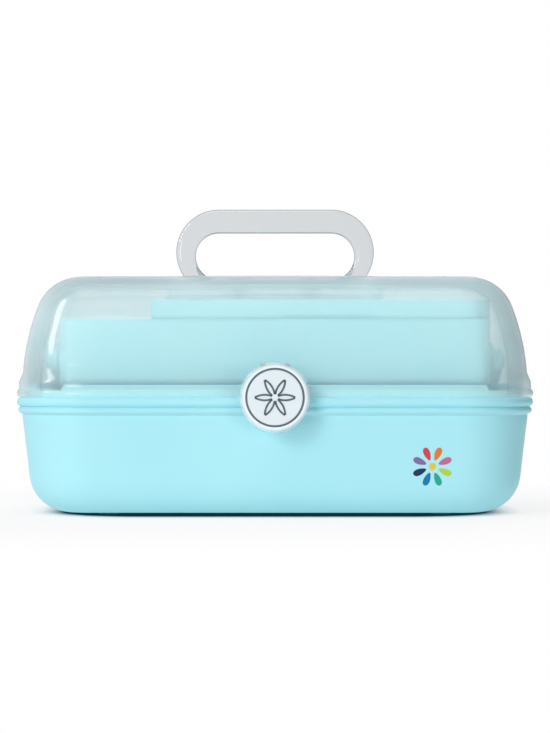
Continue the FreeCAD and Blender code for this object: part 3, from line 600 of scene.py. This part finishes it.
# ---------------------------------------------------------------- lid

def crown_z(x, y, low):
    """Height of the lid's top: low at its edge and gently crowned towards the middle."""
    across = min(1.0, abs(x) / (RIM_HALF_X - SHOULDER_INSET))
    along = min(1.0, abs(y) / (RIM_HALF_Y - SHOULDER_INSET))
    return low + CROWN * (1 - across ** 2) * (1 - along ** 2)


def lid_curve(shrink, side_steps=10, shoulder_steps=16):
    """The dome's side profile, moved in by shrink, from its foot to its top."""
    shoulder = (SHOULDER_INSET, LID_EDGE_TOP_Z - SHOULDER_R)
    side = on_circle(shoulder, SHOULDER_R - SIDE_R, SHOULDER_TURN_DEG)
    points = arc(side, SIDE_R - shrink, SIDE_LOW_DEG, SHOULDER_TURN_DEG, side_steps)
    return points + arc(shoulder, SHOULDER_R - shrink, SHOULDER_TURN_DEG, 90, shoulder_steps)[1:]


def well_ring(grow, z):
    """The plan of the handle's well, at a height or at a height found from each point."""
    half_y = (WELL_REAR_Y - WELL_FRONT_Y) / 2
    middle_y = (WELL_REAR_Y + WELL_FRONT_Y) / 2
    ring = plan_ring(WELL_HALF_X + grow, half_y + grow, WELL_CORNER_R + grow, middle_y)
    height = z if callable(z) else lambda x, y: z
    return [(x, y, height(x, y)) for x, y in ring]


def top_rings(outer, inner, low, steps=7):
    """Rings over the crowned top, from the shoulder's last ring to the well's edge."""
    rings = []
    for k in range(1, steps):
        plan = [between(start[:2], end[:2], k / steps) for start, end in zip(outer, inner)]
        rings.append([(x, y, crown_z(x, y, low)) for x, y in plan])
    return rings


def well_rings(grow, low, floor_z, lip, lip_steps=4, foot_steps=3):
    """Rings of the well: a rounded lip, the wall, a rounded foot and the floor's edge."""
    rings = []
    for i in range(lip_steps + 1):
        turn = math.radians(90 * i / lip_steps)
        out, down = lip * (1 - math.sin(turn)), lip * (1 - math.cos(turn))
        rings.append(well_ring(grow + out, lambda x, y, down=down: crown_z(x, y, low) - down))
    for i in range(foot_steps + 1):
        turn = math.radians(90 * i / foot_steps)
        inwards, up = WELL_FOOT_R * (1 - math.cos(turn)), WELL_FOOT_R * (1 - math.sin(turn))
        rings.append(well_ring(grow - inwards, floor_z + up))
    rings.append(well_ring(grow - WELL_FLOOR_MARGIN, floor_z))
    return rings


def dome():
    """The lid as one shell: flange, side, crowned top with the handle's well, and the inside."""
    outer_side = [rim_ring(*p) for p in [*FLANGE, *lid_curve(0)]]
    inner_side = [rim_ring(*p) for p in [*LID_INSIDE_FOOT, *lid_curve(LID_WALL)]]
    outer_low, inner_low = LID_EDGE_TOP_Z, LID_EDGE_TOP_Z - LID_WALL
    outer_well = well_rings(0, outer_low, WELL_FLOOR_Z, WELL_LIP_R)
    inner_well = well_rings(WELL_WALL, inner_low, WELL_FLOOR_Z - WELL_WALL, WELL_INSIDE_LIP_R)
    outer_top = top_rings(outer_side[-1], outer_well[0], outer_low)
    inner_top = top_rings(inner_side[-1], inner_well[0], inner_low)
    inside = inner_well[::-1] + inner_top[::-1] + inner_side[::-1]
    return skin("dome", inside + outer_side + outer_top + outer_well)


def add_lid(frosted):
    """The dome, with the handle's well in one piece with it."""
    lid = finish_piece(dome(), "lid", frosted)
    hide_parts("lid_shell", "handle_well")


# ---------------------------------------------------------------- handle

def stadium_path(radius, centre_z, straight=30, turn=44):
    """Points round an upright stadium from its upper left, as (x, z)."""
    half = HANDLE_HALF_STRAIGHT
    points = []
    for side, first in ((1, 90), (-1, -90)):
        for i in range(straight):
            points.append((side * half * (2 * i / straight - 1), centre_z + side * radius))
        for i in range(turn):
            angle = math.radians(first - 180 * i / turn)
            points.append((side * half + radius * math.cos(angle), centre_z + radius * math.sin(angle)))
    return points


def handle_section(outer, inner, steps=9):
    """One section of the ring between its two outlines: soft-edged, and round in the lower bar."""
    (outer_x, outer_z), (inner_x, inner_z) = outer, inner
    gap = math.hypot(outer_x - inner_x, outer_z - inner_z)
    ease = (HANDLE_BAR_END_X - abs(outer_x)) / HANDLE_BAR_FADE if outer_z < HANDLE_BAR_BELOW_Z else 0.0
    ease = min(1.0, max(0.0, ease))
    edge = HANDLE_EDGE_R + (HANDLE_BAR_R - HANDLE_EDGE_R) * ease
    half = HANDLE_THICKNESS / 2 + (HANDLE_BAR_R - HANDLE_THICKNESS / 2) * ease
    corners = ((edge, half - edge, 180), (gap - edge, half - edge, 90),
               (gap - edge, edge - half, 0), (edge, edge - half, -90))
    section = []
    for across, y, start in corners:
        for i in range(steps + 1):
            angle = math.radians(start - 90 * i / steps)
            x, z = between(outer, inner, (across + edge * math.cos(angle)) / gap)
            section.append((x, y + edge * math.sin(angle), z))
    return section


def add_handle(clear):
    """The clear ring handle: a soft-edged bar all round, with its lower bar round."""
    outer = stadium_path(HANDLE_OUTER_R, HANDLE_OUTER_Z)
    inner = stadium_path(HANDLE_INNER_R, HANDLE_INNER_Z)
    ring = skin("handle", [handle_section(*pair) for pair in zip(outer, inner)], loop=True)
    grip = finish_piece(ring, "handle", clear)
    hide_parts("handle")


# ---------------------------------------------------------------- badge and print

def lathe(name, profile, steps=128):
    """A turned solid about the latch's axis, from (radius, y) points that end on the axis."""
    points, faces = [], []
    rows = profile[1:-1]
    for radius, y in rows:
        for i in range(steps):
            turn = 2 * math.pi * i / steps
            points.append((radius * math.cos(turn), y, LATCH_Z + radius * math.sin(turn)))
    for k in range(len(rows) - 1):
        for i in range(steps):
            j = (i + 1) % steps
            faces.append((k * steps + i, k * steps + j, (k + 1) * steps + j, (k + 1) * steps + i))
    first, last = len(points), len(points) + 1
    points += [(0.0, profile[0][1], LATCH_Z), (0.0, profile[-1][1], LATCH_Z)]
    top = (len(rows) - 1) * steps
    for i in range(steps):
        j = (i + 1) % steps
        faces += [(j, i, first), (top + i, top + j, last)]
    return make_mesh(name, points, faces)


def badge(dish_steps=12):
    """The badge's disc: slightly dished, with a rounded edge."""
    front, back = LATCH_FRONT_Y + BADGE_SINK, LATCH_FRONT_Y + BADGE_DEPTH
    profile = [(0.0, back), (BADGE_R - BADGE_BACK_EDGE, back), (BADGE_R, back - BADGE_BACK_EDGE)]
    profile += [(BADGE_R - inset, front + depth) for inset, depth in BADGE_FRONT_EDGE]
    for k in range(1, dish_steps + 1):
        share = k / dish_steps
        profile.append((BADGE_R * (1 - share), front + BADGE_DISH * math.sin(math.pi / 2 * share)))
    return lathe("badge", profile)


def add_badge(white):
    """The badge's white disc."""
    disc_piece = finish_piece(badge(), "latch", white)
    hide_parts("badge_disc")


def rosette(material, arc_steps=20):
    """A compass-drawn rosette in thin raised grey lines on the badge: six petals in a broken ring."""
    points, faces = [], []

    def stroke(line):
        """Adds a flat raised line through (x, z) points."""
        base = len(points)
        for i, (x, z) in enumerate(line):
            before_x, before_z = line[max(i - 1, 0)]
            after_x, after_z = line[min(i + 1, len(line) - 1)]
            run_x, run_z = after_x - before_x, after_z - before_z
            share = ROSETTE_LINE / 2 / math.hypot(run_x, run_z)
            for side, y in ((1, ROSETTE_SINK), (-1, ROSETTE_SINK), (-1, ROSETTE_ROOT), (1, ROSETTE_ROOT)):
                points.append((x - side * run_z * share, LATCH_FRONT_Y + y,
                               LATCH_Z + z + side * run_x * share))
        for i in range(len(line) - 1):
            this, following = base + 4 * i, base + 4 * i + 4
            for k in range(4):
                after = (k + 1) % 4
                faces.append((this + k, following + k, following + after, this + after))
        end = base + 4 * (len(line) - 1)
        faces.extend([(base, base + 1, base + 2, base + 3), (end + 3, end + 2, end + 1, end)])

    for k in range(ROSETTE_PETALS):
        middle = math.radians(360 * k / ROSETTE_PETALS)
        for first, last in ROSETTE_ARCS_DEG:
            line = []
            for i in range(arc_steps + 1):
                turn = middle + math.radians(first + (last - first) * i / arc_steps)
                line.append((ROSETTE_R * (math.cos(middle) + math.cos(turn)),
                             ROSETTE_R * (math.sin(middle) + math.sin(turn))))
            stroke(line)
    finish_piece(make_mesh("rosette", points, faces), "latch", material)


def petal(turn, steps=16):
    """Outline of a rounded petal that points away from the flower's centre at an angle."""
    points = []
    for i in range(steps):
        phase = 2 * math.pi * i / steps
        along = PETAL_START + PETAL_LENGTH * (1 - math.cos(phase)) / 2
        side = PETAL_WIDTH / 2 * math.sin(phase) * (1 - PETAL_TAPER - PETAL_TAPER * math.cos(phase))
        points.append((PRINT_X + along * math.cos(turn) - side * math.sin(turn),
                       PRINT_Z + along * math.sin(turn) + side * math.cos(turn)))
    return points


def wall_y(z):
    """Depth of the tub's front wall at a height."""
    curve = tub_curve(0, WALL_TOP_Z)
    for (inset0, z0), (inset1, z1) in zip(curve, curve[1:]):
        if z0 <= z <= z1:
            return -RIM_HALF_Y + inset0 + (inset1 - inset0) * (z - z0) / (z1 - z0)
    raise ValueError("height is off the wall")


def add_print(name, outline, colour):
    """A thin printed shape that follows the tub's front wall, from (x, z) points."""
    count = len(outline)
    middle = (sum(x for x, z in outline) / count, sum(z for x, z in outline) / count)
    points = []
    for depth in (PRINT_PROUD, -PRINT_ROOT):
        for share in (1.0, 0.5):
            for x, z in [between(middle, point, share) for point in outline]:
                points.append((x, wall_y(z) - depth, z))
    front_middle, back_middle = len(points), len(points) + 1
    points += [(middle[0], wall_y(middle[1]) - PRINT_PROUD, middle[1]),
               (middle[0], wall_y(middle[1]) + PRINT_ROOT, middle[1])]
    faces = []
    for i in range(count):
        j = (i + 1) % count
        faces += [(i, j, count + j, count + i),
                  (2 * count + j, 2 * count + i, 3 * count + i, 3 * count + j),
                  (j, i, 2 * count + i, 2 * count + j),
                  (count + i, count + j, front_middle), (3 * count + j, 3 * count + i, back_middle)]
    ink = moulded(f"print_{name}", colour, darker(colour), rough=0.3)
    finish_piece(make_mesh(f"petal_{name}", points, faces), "base", ink)


def printed_flower(centre_steps=20):
    """A plain flower of coloured petals, printed low on the right of the front wall."""
    for k, (name, colour) in enumerate(PETALS):
        add_print(name, petal(math.radians(360 * (k + 0.5) / len(PETALS))), colour)
    dot = []
    for i in range(centre_steps):
        turn = 2 * math.pi * i / centre_steps
        dot.append((PRINT_X + FLOWER_CENTRE_R * math.cos(turn), PRINT_Z + FLOWER_CENTRE_R * math.sin(turn)))
    add_print("centre", dot, FLOWER_CENTRE)


# ---------------------------------------------------------------- stage and light

def add_stage(bend_steps=12):
    """Floor that curves up into a backdrop, plain and pale."""
    bend_y = STAGE_DEPTH - STAGE_BEND_R
    line = [(STAGE_FRONT, 0.0), (bend_y, 0.0)]
    for i in range(1, bend_steps + 1):
        turn = math.radians(90 * i / bend_steps)
        line.append((bend_y + STAGE_BEND_R * math.sin(turn), STAGE_BEND_R * (1 - math.cos(turn))))
    line.append((STAGE_DEPTH, STAGE_RISE))
    points = [(x, y, z) for y, z in line for x in (-STAGE_HALF, STAGE_HALF)]
    faces = [(2 * i, 2 * i + 1, 2 * i + 3, 2 * i + 2) for i in range(len(line) - 1)]
    mesh = bpy.data.meshes.new("floor")
    mesh.from_pydata(points, [], faces)
    mesh.polygons.foreach_set("use_smooth", [True] * len(mesh.polygons))
    mesh.materials.append(stage_paper())
    floor = bpy.data.objects.new("floor", mesh)
    bpy.context.scene.collection.objects.link(floor)


def add_lamp(name, place, aim, size, power, mirrored=True, lights=True):
    """A soft rectangular lamp, in metres and watts; it may be left out of reflections, or show only in
    them."""
    data = bpy.data.lights.new(name, "AREA")
    data.shape = "RECTANGLE"
    data.size, data.size_y = size
    data.energy = power
    lamp = bpy.data.objects.new(name, data)
    lamp.location = place
    lamp.rotation_euler = (Vector(aim) - Vector(place)).to_track_quat("-Z", "Y").to_euler()
    lamp.visible_transmission = False
    lamp.visible_glossy = mirrored
    lamp.visible_diffuse = lights
    bpy.context.scene.collection.objects.link(lamp)


def add_light():
    """A soft key at the upper left, a tall strip there that only makes highlights, low fills in front,
    and a top and a back light."""
    add_lamp("key", (-1.4, -1.8, 1.2), (0, 0, 0.08), (0.75, 0.75), 24.0, mirrored=False)
    add_lamp("strip", (-2.25, -0.6, 1.4), (-0.1, 0, 0.1), (0.44, 1.5), 26.0, lights=False)
    add_lamp("front_left", (-1.2, -2.2, 0.3), (0, 0, 0.05), (1.0, 0.5), 8.0)
    add_lamp("front_right", (1.4, -2.0, 0.35), (0, 0, 0.05), (1.0, 0.5), 11.5, mirrored=False)
    add_lamp("top", (-0.3, -0.1, 1.9), (0, 0, 0.1), (1.2, 1.2), 8.0)
    add_lamp("back", (0.9, 2.1, 1.3), (0, 0, 0.1), (1.2, 1.2), 27.0, mirrored=False)


def add_surround():
    """A room that is bright at the left and dimmer at the right. To the eye it is white past the
    backdrop's edges, and through clear plastic it is white too, but dimmer straight up and down."""
    n = Nodes(bpy.data.worlds.new("surround"), "OutputWorld")
    direction = n.add("SeparateXYZ", {"Vector": n.add("TexCoord").outputs["Generated"]}).outputs
    room = n.ramp(direction["X"], -0.5, 0.5, 0.4, 0.06)
    gloss = n.ramp(direction["X"], -0.5, 0.5, 0.9, 0.3)
    behind = n.ramp(n.math("ABSOLUTE", direction["Z"]), 0.45, 0.9, 1.0, 0.25)
    path = n.add("LightPath").outputs
    direct = n.math("LESS_THAN", path["Diffuse Depth"], 0.5)
    through_clear = n.math("MULTIPLY", path["Is Transmission Ray"], direct)
    strength = n.blend(path["Is Glossy Ray"], room, gloss)
    strength = n.blend(through_clear, strength, behind)
    strength = n.blend(path["Is Camera Ray"], strength, 1.0)
    background = n.add("Background", {"Color": (0.975, 0.987, 1.0, 1), "Strength": strength})
    bpy.context.scene.world = n.shade(background.outputs["Background"])


# ---------------------------------------------------------------- the case

def slot_materials():
    """Each of the record's material slots with its material."""
    return {
        "tub_plastic": moulded("tub_plastic", "#AFE8F1", "#A9E5EF", coat=0.0),
        "tray_plastic": moulded("tray_plastic", "#B9E5EA", "#B2E2E8", rough=0.4, coat=0.0),
        "pivot_plastic": moulded("pivot_plastic", "#93D2DC", "#8BCCD7", rough=0.4, coat=0.0),
        "badge_white": moulded("badge_white", "#E3EBF0", "#DEE8ED", rough=0.2, coat=0.2),
        "badge_grey": moulded("badge_grey", "#66727A", "#5C6870", rough=0.25),
        "dome_plastic": dome_plastic(),
        "clear_plastic": clear_plastic(),
        "pin_steel": steel(),
        "mirror": mirror(),
    }


def dress_nodes(materials):
    """Gives every CAD node its slot's material, apart from the latch's collar and the frosted clips."""
    frosted = materials["dome_plastic"]
    by_node = {"latch_cap": latch_plastic(), "handle_clip_left": frosted, "handle_clip_right": frosted}
    for part in frame["record"]["subparts"]:
        node = NODES[part["node"]]
        node.data.materials.clear()
        node.data.materials.append(by_node.get(part["node"], materials[part["material_slot"]]))


def build():
    """Makes every piece and hands the CAD nodes their materials."""
    materials = slot_materials()
    add_tub(materials["tub_plastic"])
    add_bosses(materials["tub_plastic"])
    add_feet()
    add_lid(materials["dome_plastic"])
    add_handle(materials["clear_plastic"])
    add_badge(materials["badge_white"])
    rosette(materials["badge_grey"])
    printed_flower()
    dress_nodes(materials)


add_camera()
add_stage()
add_light()
add_surround()
build()
